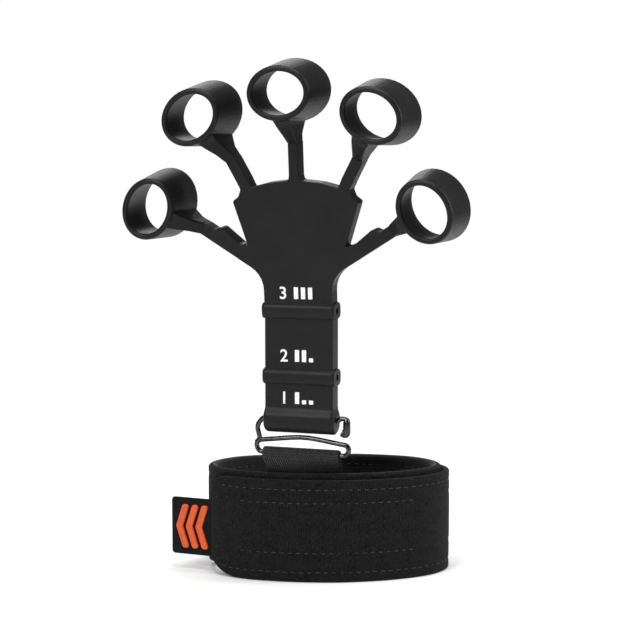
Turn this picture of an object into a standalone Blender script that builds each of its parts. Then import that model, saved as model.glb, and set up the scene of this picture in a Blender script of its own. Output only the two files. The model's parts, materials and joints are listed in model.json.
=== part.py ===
"""Finger exerciser: a silicone hand with five finger loops, a wire buckle, a webbing loop and a wrist strap.

All sizes are in metres, +Z up, front towards -Y, standing on the lower edge of the strap.
The silicone palm lies in a plane (u across, v up the palm) that leans forward from the hinge line.
"""

import math

import bmesh
import bpy
from mathutils import Euler, Vector

MM = 0.001
GAP = 0.3 * MM

# Placement of the whole object over its own base.
BASE_X = 1.45 * MM
BASE_Y = -17.1 * MM

# Silicone moulding.
HINGE_Z = 110.3 * MM
LEAN = math.radians(5.7)
PLATE = 7.6 * MM
MID_Y = PLATE / 2
EDGE = 0.55 * MM
NECK_HALF = 15.0 * MM
NECK_TOP = -1.0 * MM
HEM_TOP = -37.3 * MM
HEM_BOTTOM = -47.9 * MM
NECK_HINGE = HEM_TOP + GAP
NECK_RELIEF = math.radians(34)
ROOT_RELIEF = (math.radians(42), math.radians(23))
RIB_LENGTH = 31.8 * MM
RIB_DEPTH = 10.2 * MM
RIB_HEIGHT = 7.4 * MM
RIB_LEVELS = (3.7 * MM, -23.9 * MM)
HEM_LENGTH = 32.0 * MM
HEM_DEPTH = 10.8 * MM
BORE_RADIUS = 1.4 * MM
PIN_Z = -42.2 * MM

# Finger loops: oval tubes that widen towards the back.
LOOP_SHIFT = -1.5 * MM
LOOP_FRONT = -12.4 * MM
LOOP_BACK = 11.6 * MM
OUTER_FRONT = (11.05 * MM, 13.25 * MM)
OUTER_BACK = (13.2 * MM, 15.6 * MM)
INNER_FRONT = (8.6 * MM, 10.85 * MM)
INNER_BACK = (10.4 * MM, 12.75 * MM)
RIM = 1.0 * MM
LOOP_SEGMENTS = 44
WEB_WIDTH = 8.6 * MM

# Each finger: root of its arm, end of its arm, centre of its loop, arm width (u, v in the palm plane).
FINGERS = {
    1: ((-24.4, 28.9), (-40.8, 37.8), (-59.5, 47.6), 5.0),
    2: ((-22.9, 58.5), (-27.2, 66.5), (-38.5, 85.5), 4.9),
    3: ((0.0, 60.6), (0.0, 73.2), (0.0, 94.8), 4.3),
    4: ((22.9, 58.5), (27.2, 66.5), (38.5, 85.5), 4.9),
    5: ((24.4, 28.9), (40.8, 37.8), (59.5, 47.6), 5.0),
}

# Half outline of the palm, from the neck up to the middle finger: u, v, corner radius in mm.
PALM_HALF = (
    (15.0, -1.0, 0.0),
    (15.0, 18.7, 14.0),
    (26.2, 25.6, 0.0),
    (22.6, 31.4, 0.0),
    (21.4, 31.2, 0.4),
    (27.4, 49.7, 1.3),
    (24.8, 51.6, 1.3),
    (23.7, 54.6, 1.5),
    (25.1, 57.3, 0.0),
    (20.7, 59.6, 0.0),
    (18.9, 55.6, 0.7),
    (11.5, 57.5, 12.0),
    (2.5, 58.5, 1.2),
    (2.15, 60.6, 0.0),
)

# Outline of an outer arm, the wing of the first and fifth fingers.
WING = (
    (26.7, 25.95, 0.0),
    (33.9, 30.45, 6.0),
    (42.1, 35.6, 0.0),
    (39.6, 39.95, 0.0),
    (36.1, 37.7, 1.2),
    (33.2, 38.9, 1.8),
    (24.9, 32.0, 2.5),
    (23.1, 31.75, 0.0),
)

# Wire buckle: one bent wire, drawn as a latching pin and a frame (x, z below the hinge line).
WIRE = 1.05 * MM
HOOK_PIN = (
    (-18.9, -49.9, 0.0),
    (-19.6, -45.8, 3.0),
    (-17.9, -42.2, 2.2),
    (17.6, -42.2, 2.4),
    (20.2, -44.6, 2.2),
    (18.4, -48.4, 0.0),
)
FRAME_WIRE = (
    (-19.0, -53.7, 0.0),
    (-19.1, -57.0, 2.0),
    (20.7, -57.0, 2.2),
    (21.0, -52.2, 2.0),
    (1.3, -49.9, 40.0),
    (-18.9, -51.5, 0.0),
)
BAR_Z = -57.0 * MM

# Wrist strap: an oval band, turned a little against the palm, with a flap over its front.
STRAP_X = 3.0 * MM
STRAP_Y = 26.0 * MM
STRAP_TURN = math.radians(18.6)
BAND_A = 50.6 * MM
BAND_B = 25.8 * MM
BAND_TOP = 45.5 * MM
BAND_LAYERS = {
    "band_cover": (0.0, -1.0 * MM, 0.0, BAND_TOP),
    "band_core": (-1.3 * MM, -2.3 * MM, 0.8 * MM, BAND_TOP - 0.8 * MM),
    "band_lining": (-2.6 * MM, -3.5 * MM, 0.4 * MM, BAND_TOP),
}
BAND_SEGMENTS = 72
FLAP_INNER = 1.3 * MM
FLAP_OUTER = 3.6 * MM
FLAP_LOW = 0.5 * MM
FLAP_TOP = 43.4 * MM
FLAP_START = math.radians(-156)
FLAP_END = math.radians(-3)
ANCHOR_END = math.radians(36)
FLAP_CORNERS = (6.0 * MM, 10.0 * MM)
TAPE_LOW = 13.5 * MM
TAPE_HIGH = 34.0 * MM
TAPE_START = math.radians(-140)
TAPE_END = math.radians(-78)

# Webbing that ties the buckle to the strap.
WEB_HALF = 16.3 * MM
WEB_PLY = 1.25 * MM
WEB_TAIL = 1.0 * MM
WEB_LOW = 16.0 * MM
WEB_TURNED = 52.1 * MM
WEB_HIGH = 47.4 * MM
WEB_SPLIT = 46.0 * MM
WEB_GAP = 0.6 * MM
WEB_CENTRE_A = -9.0 * MM
WEB_INSET = -4.85 * MM

# Pull tab with its three arrows.
TAB_LOW = 6.6 * MM
TAB_HIGH = 31.6 * MM
TAB_THICK = 0.7 * MM
TAB_LENGTH = 20.9 * MM
TAB_TURN = math.radians(158)
TAB_HINGE = 2.0 * MM
ARROW_STEP = 4.6 * MM
ARROW_WIDTH = 3.2 * MM

MARK_HEIGHT = 5.0 * MM
MARK_STROKE = 0.95 * MM

SILICONE = ("silicone_black", (0.045, 0.046, 0.048), 0.0, 0.5)
PRINT = ("white_print", (0.82, 0.82, 0.80), 0.0, 0.6)
STEEL = ("black_nickel", (0.16, 0.16, 0.17), 1.0, 0.22)
WEBBING = ("webbing_black", (0.03, 0.03, 0.032), 0.0, 0.85)
COVER = ("loop_fabric", (0.04, 0.04, 0.043), 0.0, 0.95)
CORE = ("foam_black", (0.05, 0.05, 0.05), 0.0, 0.95)
LINING = ("lining_fabric", (0.045, 0.046, 0.05), 0.0, 0.9)
TAPE = ("hook_tape", (0.02, 0.02, 0.021), 0.0, 0.7)
TAB = ("tab_leatherette", (0.03, 0.03, 0.03), 0.0, 0.6)
ARROW = ("arrow_orange", (0.90, 0.27, 0.05), 0.0, 0.5)


def clear_scene():
    for obj in list(bpy.data.objects):
        bpy.data.objects.remove(obj, do_unlink=True)
    for group in list(bpy.data.collections):
        bpy.data.collections.remove(group)


clear_scene()
PARTS = bpy.data.collections.new("finger_exerciser")
CUTTERS = bpy.data.collections.new("cutters")
bpy.context.scene.collection.children.link(PARTS)
bpy.context.scene.collection.children.link(CUTTERS)
ROOT = bpy.data.objects.new("base", None)
ROOT.location = (BASE_X, BASE_Y, 0.0)
PARTS.objects.link(ROOT)


def material(spec):
    name, colour, metallic, roughness = spec
    found = bpy.data.materials.get(name)
    if found:
        return found
    made = bpy.data.materials.new(name)
    made.use_nodes = True
    shader = made.node_tree.nodes["Principled BSDF"]
    shader.inputs["Base Color"].default_value = (*colour, 1.0)
    shader.inputs["Metallic"].default_value = metallic
    shader.inputs["Roughness"].default_value = roughness
    made.diffuse_color = (*colour, 1.0)
    return made


def rounded(points, closed=True):
    """Replaces each corner (x, y, radius) of an outline with an arc of that radius."""
    out = []
    count = len(points)
    for index, (x, y, radius) in enumerate(points):
        corner = Vector((x, y))
        open_end = not closed and index in (0, count - 1)
        if radius <= 0 or open_end:
            out.append(corner)
            continue
        before = Vector(points[index - 1][:2]) - corner
        after = Vector(points[(index + 1) % count][:2]) - corner
        opening = before.angle(after)
        turn = math.pi - opening
        reach = radius * math.tan(turn / 2)
        reach = min(reach, 0.48 * before.length, 0.48 * after.length)
        radius = reach / math.tan(turn / 2)
        bisector = (before.normalized() + after.normalized()).normalized()
        centre = corner + bisector * (radius / math.sin(opening / 2))
        start = corner + before.normalized() * reach - centre
        steps = max(2, math.ceil(turn / math.radians(14)))
        side = 1 if before.x * after.y - before.y * after.x < 0 else -1
        for step in range(steps + 1):
            angle = side * turn * step / steps
            c, s = math.cos(angle), math.sin(angle)
            out.append(centre + Vector((start.x * c - start.y * s, start.x * s + start.y * c)))
    return out


def loft(name, sections, group=PARTS):
    """Closed body through matching closed loops of points, with flat ends."""
    mesh = bpy.data.meshes.new(name)
    bm = bmesh.new()
    rows = [[bm.verts.new(point) for point in section] for section in sections]
    for low, high in zip(rows, rows[1:]):
        for i in range(len(low)):
            j = (i + 1) % len(low)
            bm.faces.new((low[i], low[j], high[j], high[i]))
    bm.faces.new(rows[0])
    bm.faces.new(rows[-1])
    bmesh.ops.recalc_face_normals(bm, faces=bm.faces)
    bm.to_mesh(mesh)
    bm.free()
    obj = bpy.data.objects.new(name, mesh)
    group.objects.link(obj)
    return obj


def plate(name, outline, low, high, group=PARTS):
    """Flat body with its outline in X and Z, from depth low to depth high."""
    return loft(name, [[Vector((p.x, y, p.y)) for p in outline] for y in (low, high)], group)


def box(name, low, high, group=PARTS):
    outline = [Vector((low[0], low[2])), Vector((high[0], low[2])), Vector((high[0], high[2])), Vector((low[0], high[2]))]
    return plate(name, outline, low[1], high[1], group)


def modify(obj, kind, **values):
    modifier = obj.modifiers.new(kind.title(), kind)
    for key, value in values.items():
        setattr(modifier, key, value)
    return modifier


def cut(obj, other, operation="DIFFERENCE"):
    """Boolean with a cutter body, which stays in the cutters collection."""
    for group in list(other.users_collection):
        group.objects.unlink(other)
    CUTTERS.objects.link(other)
    other.hide_render = True
    other.display_type = "WIRE"
    modify(obj, "BOOLEAN", operation=operation, solver="EXACT", object=other)


def bake(obj):
    """Turns the shape under the modifiers into the mesh itself."""
    shape = obj.evaluated_get(bpy.context.evaluated_depsgraph_get())
    mesh = bpy.data.meshes.new_from_object(shape)
    cutters = [modifier.object for modifier in obj.modifiers if modifier.type == "BOOLEAN"]
    obj.modifiers.clear()
    obj.data = mesh
    for cutter in cutters:
        bpy.data.objects.remove(cutter, do_unlink=True)


def finish(obj, spec, origin=(0.0, 0.0, 0.0), location=(0.0, 0.0, 0.0), rotation=(0.0, 0.0, 0.0)):
    """Moves the mesh's own origin to the joint, places the object and gives it its material."""
    shift = Vector(origin)
    for vertex in obj.data.vertices:
        vertex.co -= shift
    obj.location = location
    obj.rotation_euler = rotation
    obj.parent = ROOT
    obj.data.materials.clear()
    obj.data.materials.append(material(spec))
    return obj


def shade_smooth(obj):
    for polygon in obj.data.polygons:
        polygon.use_smooth = True


def palm_point(u, y, v):
    """World position of a point of the palm plane, before the base offset."""
    turned = Euler((LEAN, 0.0, 0.0)).to_matrix() @ Vector((u, y, v))
    return turned + Vector((0.0, 0.0, HINGE_Z))


def finish_palm(obj, spec, u=0.0, v=0.0):
    origin = (u, MID_Y, v)
    return finish(obj, spec, origin, palm_point(*origin), (LEAN, 0.0, 0.0))


def finish_neck(obj, spec, z):
    return finish(obj, spec, (0.0, MID_Y, z), (0.0, MID_Y, HINGE_Z + z))


def rib(name, level, length, depth, height):
    """Rounded bead across the neck, with its long axis along X."""
    outline = []
    for step in range(20):
        angle = math.tau * step / 20
        c, s = math.cos(angle), math.sin(angle)
        y = MID_Y + depth / 2 * math.copysign(abs(c) ** 0.6, c)
        z = level + height / 2 * math.copysign(abs(s) ** 0.6, s)
        outline.append((y, z))
    ends = ((-0.5, 0.90), (-0.485, 0.97), (-0.465, 1.0), (0.465, 1.0), (0.485, 0.97), (0.5, 0.90))
    sections = []
    for along, scale in ends:
        x = along * length
        sections.append([(x, MID_Y + (y - MID_Y) * scale, level + (z - level) * scale) for y, z in outline])
    return loft(name, sections)


def bore(name, level, half_length):
    """Round cutter along X."""
    sections = []
    for x in (-half_length, half_length):
        ring = []
        for step in range(20):
            angle = math.tau * step / 20
            ring.append((x, MID_Y + BORE_RADIUS * math.cos(angle), level + BORE_RADIUS * math.sin(angle)))
        sections.append(ring)
    return loft(name, sections)


def make_palm():
    half = [(u, v, r) for u, v, r in PALM_HALF]
    mirrored = [(-u, v, r) for u, v, r in reversed(half)]
    outline = [Vector((p.x * MM, p.y * MM)) for p in rounded(half + mirrored)]
    palm = plate("palm_plate", outline, 0.0, PLATE)
    modify(palm, "BEVEL", width=EDGE, segments=2, limit_method="ANGLE", angle_limit=math.radians(60))
    cut(palm, rib("rib_1_body", RIB_LEVELS[0], RIB_LENGTH, RIB_DEPTH, RIB_HEIGHT), "UNION")
    cut(palm, bore("rib_1_bore", RIB_LEVELS[0], RIB_LENGTH), "DIFFERENCE")
    bake(palm)
    finish_palm(palm, SILICONE, v=NECK_TOP)


def make_neck():
    foot = HEM_TOP + 2 * GAP
    rise = (MID_Y - GAP) * math.tan(NECK_RELIEF)
    outline = [(0.0, NECK_TOP - GAP), (PLATE, NECK_TOP - GAP), (PLATE, foot + rise)]
    outline += [(MID_Y + GAP, foot), (MID_Y - GAP, foot), (0.0, foot + rise)]
    strip = loft("neck_strip", [[(x, y, z) for y, z in outline] for x in (-NECK_HALF, NECK_HALF)])
    modify(strip, "BEVEL", width=EDGE, segments=2, limit_method="ANGLE", angle_limit=math.radians(62))
    cut(strip, rib("rib_2_body", RIB_LEVELS[1], RIB_LENGTH, RIB_DEPTH, RIB_HEIGHT), "UNION")
    cut(strip, bore("rib_2_bore", RIB_LEVELS[1], RIB_LENGTH), "DIFFERENCE")
    bake(strip)
    finish_neck(strip, SILICONE, NECK_HINGE)
    level = (HEM_TOP + HEM_BOTTOM) / 2
    hem = rib("neck_hem", level, HEM_LENGTH, HEM_DEPTH, HEM_TOP - HEM_BOTTOM)
    cut(hem, bore("hem_bore", PIN_Z, HEM_LENGTH), "DIFFERENCE")
    bake(hem)
    finish_neck(hem, SILICONE, PIN_Z)


def oval(centre, along, y, radial, across):
    """Oval loop of points in the palm plane at depth y, with its short radius along the arm."""
    side = Vector((-along.y, along.x))
    points = []
    for step in range(LOOP_SEGMENTS):
        angle = math.tau * step / LOOP_SEGMENTS
        spot = centre + along * (radial * math.cos(angle)) + side * (across * math.sin(angle))
        points.append((spot.x, y, spot.y))
    return points


def tube(name, centre, along, front, back, stations):
    """Oval tube body: each station is a depth and how much the radii grow there."""
    sections = []
    for y, grow in stations:
        t = (y - LOOP_FRONT) / (LOOP_BACK - LOOP_FRONT)
        radial = front[0] + (back[0] - front[0]) * t + grow
        across = front[1] + (back[1] - front[1]) * t + grow
        sections.append(oval(centre, along, y, radial, across))
    return loft(name, sections)


def root_wedge(root, along, side, face, angle):
    """Cutter that slopes an arm's root back on one face, so that the arm can bend that way."""
    near = MID_Y + face * 0.25 * MM
    far = MID_Y + face * (MID_Y + MM)
    slope = GAP + (abs(far - near)) * math.tan(angle)
    profile = ((-2.0 * MM, near), (GAP, near), (slope, far), (-2.0 * MM, far))
    sections = []
    for across in (-8.0 * MM, 8.0 * MM):
        spots = [(root + along * away + side * across, y) for away, y in profile]
        sections.append([(spot.x, y, spot.y) for spot, y in spots])
    return loft("root_wedge", sections)


def make_finger(number):
    root, end, centre, width = FINGERS[number]
    root = Vector(root) * MM
    end = Vector(end) * MM
    centre = Vector(centre) * MM + Vector((LOOP_SHIFT, 0.0))
    half = width * MM / 2
    along = (end - root).normalized()
    side = Vector((-along.y, along.x))

    if number in (1, 5):
        mirror = -1 if number == 1 else 1
        outline = [Vector((p.x * MM * mirror, p.y * MM)) for p in rounded(WING)]
    else:
        start = root + along * GAP
        outline = [start - side * half, end - side * half, end + side * half, start + side * half]
    arm = plate(f"finger_arm_{number}", outline, 0.0, PLATE)
    modify(arm, "BEVEL", width=EDGE, segments=2, limit_method="ANGLE", angle_limit=math.radians(60))
    for face, angle in ((-1, ROOT_RELIEF[0]), (1, ROOT_RELIEF[1])):
        cut(arm, root_wedge(root, along, side, face, angle))
    bake(arm)
    finish_palm(arm, SILICONE, root.x, root.y)

    reach = (centre - end).normalized()
    across = Vector((-reach.y, reach.x))
    rims = [(LOOP_FRONT, -RIM), (LOOP_FRONT + 0.3 * RIM, -0.3 * RIM), (LOOP_FRONT + RIM, 0.0)]
    rims += [(LOOP_BACK - RIM, 0.0), (LOOP_BACK - 0.3 * RIM, -0.3 * RIM), (LOOP_BACK, -RIM)]
    loop = tube(f"finger_loop_{number}", centre, reach, OUTER_FRONT, OUTER_BACK, rims)

    gusset = []
    distance = (centre - end).length
    # Along the arm: distance from the loop centre, half width, front depth, back depth.
    stations = (
        (distance - GAP, half, 0.0, PLATE),
        (17.8 * MM, half + 0.2 * MM, -4.4 * MM, PLATE),
        (13.4 * MM, half + 0.9 * MM, -9.4 * MM, PLATE + 2.6 * MM),
        (9.4 * MM, WEB_WIDTH / 2, -11.4 * MM, PLATE + 3.2 * MM),
    )
    for away, wide, front, back in stations:
        spot = centre - reach * away
        low = spot - across * wide
        high = spot + across * wide
        gusset.append([(low.x, front, low.y), (high.x, front, high.y), (high.x, back, high.y), (low.x, back, low.y)])
    web = loft(f"gusset_{number}", gusset)
    modify(web, "BEVEL", width=EDGE, segments=2, limit_method="ANGLE", angle_limit=math.radians(60))
    bake(web)
    cut(loop, web, "UNION")
    flares = [(LOOP_FRONT - 0.5 * MM, 1.4 * MM), (LOOP_FRONT, 0.8 * RIM), (LOOP_FRONT + 0.3 * RIM, 0.25 * RIM)]
    flares += [(LOOP_FRONT + RIM, 0.0), (LOOP_BACK - RIM, 0.0), (LOOP_BACK - 0.3 * RIM, 0.25 * RIM)]
    flares += [(LOOP_BACK, 0.8 * RIM), (LOOP_BACK + 0.5 * MM, 1.4 * MM)]
    hole = tube(f"loop_hole_{number}", centre, reach, INNER_FRONT, INNER_BACK, flares)
    cut(loop, hole, "DIFFERENCE")
    bake(loop)
    finish_palm(loop, SILICONE, end.x, end.y)


# Strokes of the level numerals on a two by four grid: start and end of each stroke.
NUMERALS = {
    1: (((1, 0), (1, 4)),),
    2: (((0, 4), (2, 4)), ((2, 2), (2, 4)), ((0, 2), (2, 2)), ((0, 0), (0, 2)), ((0, 0), (2, 0))),
    3: (((0, 4), (2, 4)), ((2, 0), (2, 4)), ((0.5, 2), (2, 2)), ((0, 0), (2, 0))),
}


def make_mark(number, middle):
    """Numeral and three bars on a common base line, with as many tall bars as the level."""
    bottom = middle - MARK_HEIGHT / 2
    cell = (MARK_HEIGHT - MARK_STROKE) / 4
    half = MARK_STROKE / 2
    left = -7.2 * MM
    strips = []
    for (x0, z0), (x1, z1) in NUMERALS[number]:
        low = (left + x0 * cell - half, bottom + z0 * cell)
        high = (left + x1 * cell + half, bottom + z1 * cell + MARK_STROKE)
        strips.append((low, high))
    for bar in range(3):
        tall = MARK_HEIGHT if bar < number else 0.34 * MARK_HEIGHT
        x = -2.0 * MM + bar * 3.2 * MM
        strips.append(((x, bottom), (x + 2.1 * MM, bottom + tall)))
    front, back = -0.55 * MM, -0.3 * MM
    mark = box(f"level_mark_{number}", (left - half, front, bottom - 0.5 * MM), (6.5 * MM, back, bottom + 0.1 * MM))
    for low, high in strips:
        cut(mark, box("stroke", (low[0], front, low[1]), (high[0], back, high[1])), "UNION")
    bake(mark)
    return mark


def make_wire(name, path, origin_x, origin_z):
    """Round wire along a bent path in the buckle's plane."""
    points = rounded([(x, z, r) for x, z, r in path], closed=False)
    curve = bpy.data.curves.new(name, "CURVE")
    curve.dimensions = "3D"
    curve.bevel_depth = WIRE
    curve.bevel_resolution = 2
    curve.use_fill_caps = True
    spline = curve.splines.new("POLY")
    spline.points.add(len(points) - 1)
    for slot, point in zip(spline.points, points):
        slot.co = (point.x * MM, MID_Y, point.y * MM, 1.0)
    source = bpy.data.objects.new(name + "_path", curve)
    CUTTERS.objects.link(source)
    bpy.context.view_layer.update()
    mesh = bpy.data.meshes.new_from_object(source.evaluated_get(bpy.context.evaluated_depsgraph_get()))
    bpy.data.objects.remove(source, do_unlink=True)
    bm = bmesh.new()
    bm.from_mesh(mesh)
    bmesh.ops.remove_doubles(bm, verts=bm.verts, dist=0.00001)
    bmesh.ops.recalc_face_normals(bm, faces=bm.faces)
    bm.to_mesh(mesh)
    bm.free()
    wire = bpy.data.objects.new(name, mesh)
    PARTS.objects.link(wire)
    shade_smooth(wire)
    origin = (origin_x, MID_Y, origin_z)
    finish(wire, STEEL, origin, (origin_x, MID_Y, HINGE_Z + origin_z))


def strap_point(angle, offset, z):
    """Point of the strap's oval, moved outwards by offset, in the strap's own frame."""
    c, s = math.cos(angle), math.sin(angle)
    normal = Vector((BAND_B * c, BAND_A * s)).normalized()
    return Vector((BAND_A * c + normal.x * offset, BAND_B * s + normal.y * offset, z))


def strap_to_world(point):
    turned = Euler((0.0, 0.0, STRAP_TURN)).to_matrix() @ point
    return turned + Vector((STRAP_X, STRAP_Y, 0.0))


def finish_strap(obj, spec, origin=(0.0, 0.0, 0.0)):
    return finish(obj, spec, origin, strap_to_world(Vector(origin)), (0.0, 0.0, STRAP_TURN))


def make_band_layer(name, outer, inner, low, high, spec):
    """Closed oval layer of the band, with softened upper and lower edges."""
    soft = min(0.35 * MM, 0.3 * (outer - inner))
    profile = ((outer - soft, low), (outer, low + soft), (outer, high - soft), (outer - soft, high))
    profile += ((inner + soft, high), (inner, high - soft), (inner, low + soft), (inner + soft, low))
    mesh = bpy.data.meshes.new(name)
    bm = bmesh.new()
    rows = []
    for step in range(BAND_SEGMENTS):
        angle = math.tau * step / BAND_SEGMENTS
        rows.append([bm.verts.new(strap_point(angle, offset, z)) for offset, z in profile])
    for step in range(BAND_SEGMENTS):
        here, there = rows[step], rows[(step + 1) % BAND_SEGMENTS]
        for i in range(len(profile)):
            j = (i + 1) % len(profile)
            bm.faces.new((here[i], here[j], there[j], there[i]))
    bmesh.ops.recalc_face_normals(bm, faces=bm.faces)
    bm.to_mesh(mesh)
    bm.free()
    layer = bpy.data.objects.new(name, mesh)
    PARTS.objects.link(layer)
    finish_strap(layer, spec)


def shell(name, start, end, inner, outer, low, high, steps, corners=(0.0, 0.0)):
    """Curved panel that follows the strap's oval; its first end has rounded corners."""
    sections = []
    length = (strap_point(start, outer, 0) - strap_point(end, outer, 0)).length
    stations = [step / steps for step in range(steps + 1)]
    top_radius, low_radius = corners
    if top_radius or low_radius:
        reach = max(corners) / length
        stations = [reach * t for t in (0.0, 0.06, 0.2, 0.45, 0.75)] + [t for t in stations if t > reach]
    for t in stations:
        angle = start + (end - start) * t
        along = t * length
        bottom = low + drop(along, low_radius)
        top = high - drop(along, top_radius)
        ring = [strap_point(angle, inner, bottom), strap_point(angle, outer, bottom)]
        ring += [strap_point(angle, outer, top), strap_point(angle, inner, top)]
        sections.append(ring)
    return loft(name, sections)


def drop(along, radius):
    """How far a rounded corner of this radius cuts into the edge at a distance from the end."""
    if radius <= 0 or along >= radius:
        return 0.0
    return radius - math.sqrt(radius * radius - (radius - along) ** 2)


def smooth_step(t):
    t = max(0.0, min(1.0, t))
    return t * t * (3 - 2 * t)


def web_point(across, depth, z):
    """Point of the webbing: square to the buckle at the top, along the strap's front below."""
    a = WEB_CENTRE_A + across
    angle = -math.acos(max(-1.0, min(1.0, a / BAND_A)))
    low = strap_to_world(strap_point(angle, WEB_INSET - depth, z))
    high = Vector((across, MID_Y + depth, z))
    blend = smooth_step((WEB_TURNED - z) / (5.4 * MM))
    return high.lerp(low, blend)


def web_sections(profile):
    """The same profile (depth, z) repeated across the width of the webbing."""
    columns = 10
    spread = [WEB_HALF * (2 * column / columns - 1) for column in range(columns + 1)]
    return [[web_point(across, depth, z) for depth, z in profile] for across in spread]


def make_webbing():
    """Webbing folded round the lower bar of the buckle, its two plies sewn together below."""
    bar = HINGE_Z + BAR_Z
    inside = WIRE + GAP + 0.1 * MM
    radius = inside + WEB_PLY
    profile = []
    for step in range(9):
        angle = math.radians(-20 + 220 * step / 8)
        profile.append((radius * math.cos(angle), bar + radius * math.sin(angle)))
    foot = WEB_SPLIT + WEB_GAP
    profile += [(-WEB_TAIL, WEB_HIGH), (-WEB_TAIL, foot), (WEB_TAIL, foot), (WEB_TAIL, WEB_HIGH)]
    webbing = loft("webbing_loop", web_sections(profile))
    hole = []
    for x in (-WEB_HALF - MM, WEB_HALF + MM):
        ring = []
        for step in range(20):
            angle = math.tau * step / 20
            ring.append((x, MID_Y + inside * math.cos(angle), bar + inside * math.sin(angle)))
        hole.append(ring)
    cut(webbing, loft("webbing_hole", hole), "DIFFERENCE")
    bake(webbing)
    root = web_point(0.0, 0.0, WEB_SPLIT)
    finish(webbing, WEBBING, root, root)
    low, high = WEB_LOW, WEB_SPLIT - WEB_GAP
    tail = loft("webbing_tail", web_sections([(-WEB_TAIL, high), (-WEB_TAIL, low), (WEB_TAIL, low), (WEB_TAIL, high)]))
    finish(tail, WEBBING)


def make_strap():
    colours = {"band_cover": COVER, "band_core": CORE, "band_lining": LINING}
    for name, (outer, inner, low, high) in BAND_LAYERS.items():
        make_band_layer(name, outer, inner, low, high, colours[name])
    hinge = strap_point(FLAP_END, FLAP_OUTER, FLAP_TOP / 2)
    flap = shell("closing_flap", FLAP_START, FLAP_END, FLAP_INNER, FLAP_OUTER, FLAP_LOW, FLAP_TOP, 44, FLAP_CORNERS)
    finish_strap(flap, COVER, hinge)
    anchor = shell("flap_anchor", FLAP_END + 0.008, ANCHOR_END, GAP, FLAP_OUTER, FLAP_LOW, FLAP_TOP, 12)
    finish_strap(anchor, COVER)
    tape = shell("hook_tape", TAPE_START, TAPE_END, GAP, FLAP_INNER - GAP, TAPE_LOW, TAPE_HIGH, 24)
    finish_strap(tape, TAPE, hinge)


def tab_frame():
    """Where the tab leaves the flap and which way it runs, in the strap's own frame."""
    root = strap_point(FLAP_START - 0.012, FLAP_INNER / 2, 0.0)
    run = Vector((math.cos(TAB_TURN), math.sin(TAB_TURN), 0.0))
    return root, run


def tab_ring(spot, side, trim=0.0):
    half = TAB_THICK / 2
    corners = ((-half, TAB_LOW + trim), (half, TAB_LOW + trim), (half, TAB_HIGH - trim), (-half, TAB_HIGH - trim))
    return [spot + side * depth + Vector((0.0, 0.0, z)) for depth, z in corners]


def make_tab():
    root, run = tab_frame()
    side = Vector((-run.y, run.x, 0.0))
    half = TAB_THICK / 2
    sewn = FLAP_START + math.radians(13)
    sections = []
    for step in range(6):
        angle = sewn + (FLAP_START - sewn) * step / 5
        here = strap_point(angle, FLAP_INNER / 2, 0.0)
        outwards = (strap_point(angle, FLAP_INNER, 0.0) - here).normalized()
        sections.append(tab_ring(here, outwards))
    sections.append(tab_ring(root + run * (TAB_HINGE - GAP), side))
    finish_strap(loft("tab_root", sections), TAB)

    sections = []
    for along in (TAB_HINGE, 6.0 * MM, TAB_LENGTH - 1.2 * MM, TAB_LENGTH - 0.35 * MM, TAB_LENGTH):
        sections.append(tab_ring(root + run * along, side, drop(TAB_LENGTH - along, 1.2 * MM)))
    hinge = root + run * TAB_HINGE
    finish_strap(loft("pull_tab", sections), TAB, (hinge.x, hinge.y, (TAB_LOW + TAB_HIGH) / 2))

    middle = (TAB_LOW + TAB_HIGH) / 2
    half_tall = 9.6 * MM
    back = 3.2 * MM
    for arrow in range(3):
        tip = 4.8 * MM + (arrow + 1) * ARROW_STEP
        outline = [(tip, 0.0), (tip - back, half_tall), (tip - back - ARROW_WIDTH, half_tall)]
        outline += [(tip - ARROW_WIDTH, 0.0), (tip - back - ARROW_WIDTH, -half_tall), (tip - back, -half_tall)]
        rows = []
        for lift in (half + GAP, half + GAP + 0.6 * MM):
            spots = [root + run * along + side * lift + Vector((0.0, 0.0, middle + up)) for along, up in outline]
            rows.append(spots)
        finish_strap(loft(f"tab_arrow_{arrow + 1}", rows), ARROW, (hinge.x, hinge.y, middle))


def main():
    make_palm()
    make_neck()
    for number in FINGERS:
        make_finger(number)
    finish_palm(make_mark(3, 11.8 * MM), PRINT, v=NECK_TOP)
    finish_neck(make_mark(2, -15.8 * MM), PRINT, NECK_HINGE)
    finish_neck(make_mark(1, -31.3 * MM), PRINT, NECK_HINGE)
    make_wire("hook_pin", HOOK_PIN, -18.9 * MM, -50.9 * MM)
    make_wire("latch_frame", FRAME_WIRE, 0.0, BAR_Z)
    make_webbing()
    make_strap()
    make_tab()
    for name in [f"finger_loop_{number}" for number in FINGERS] + ["palm_plate", "neck_strip", "neck_hem"]:
        shade_smooth(bpy.data.objects[name])
    bpy.data.collections.remove(CUTTERS)


main()
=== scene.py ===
"""Finger exerciser dressed over its CAD frame: silicone hand, wire buckle, webbing and wrist strap.

Lengths are in metres in the row frame: +Z up the neck, front towards -Y.
The palm plane (u across, v up) leans forward from a hinge line at the foot of the palm.
"""

import json
import math

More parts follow.
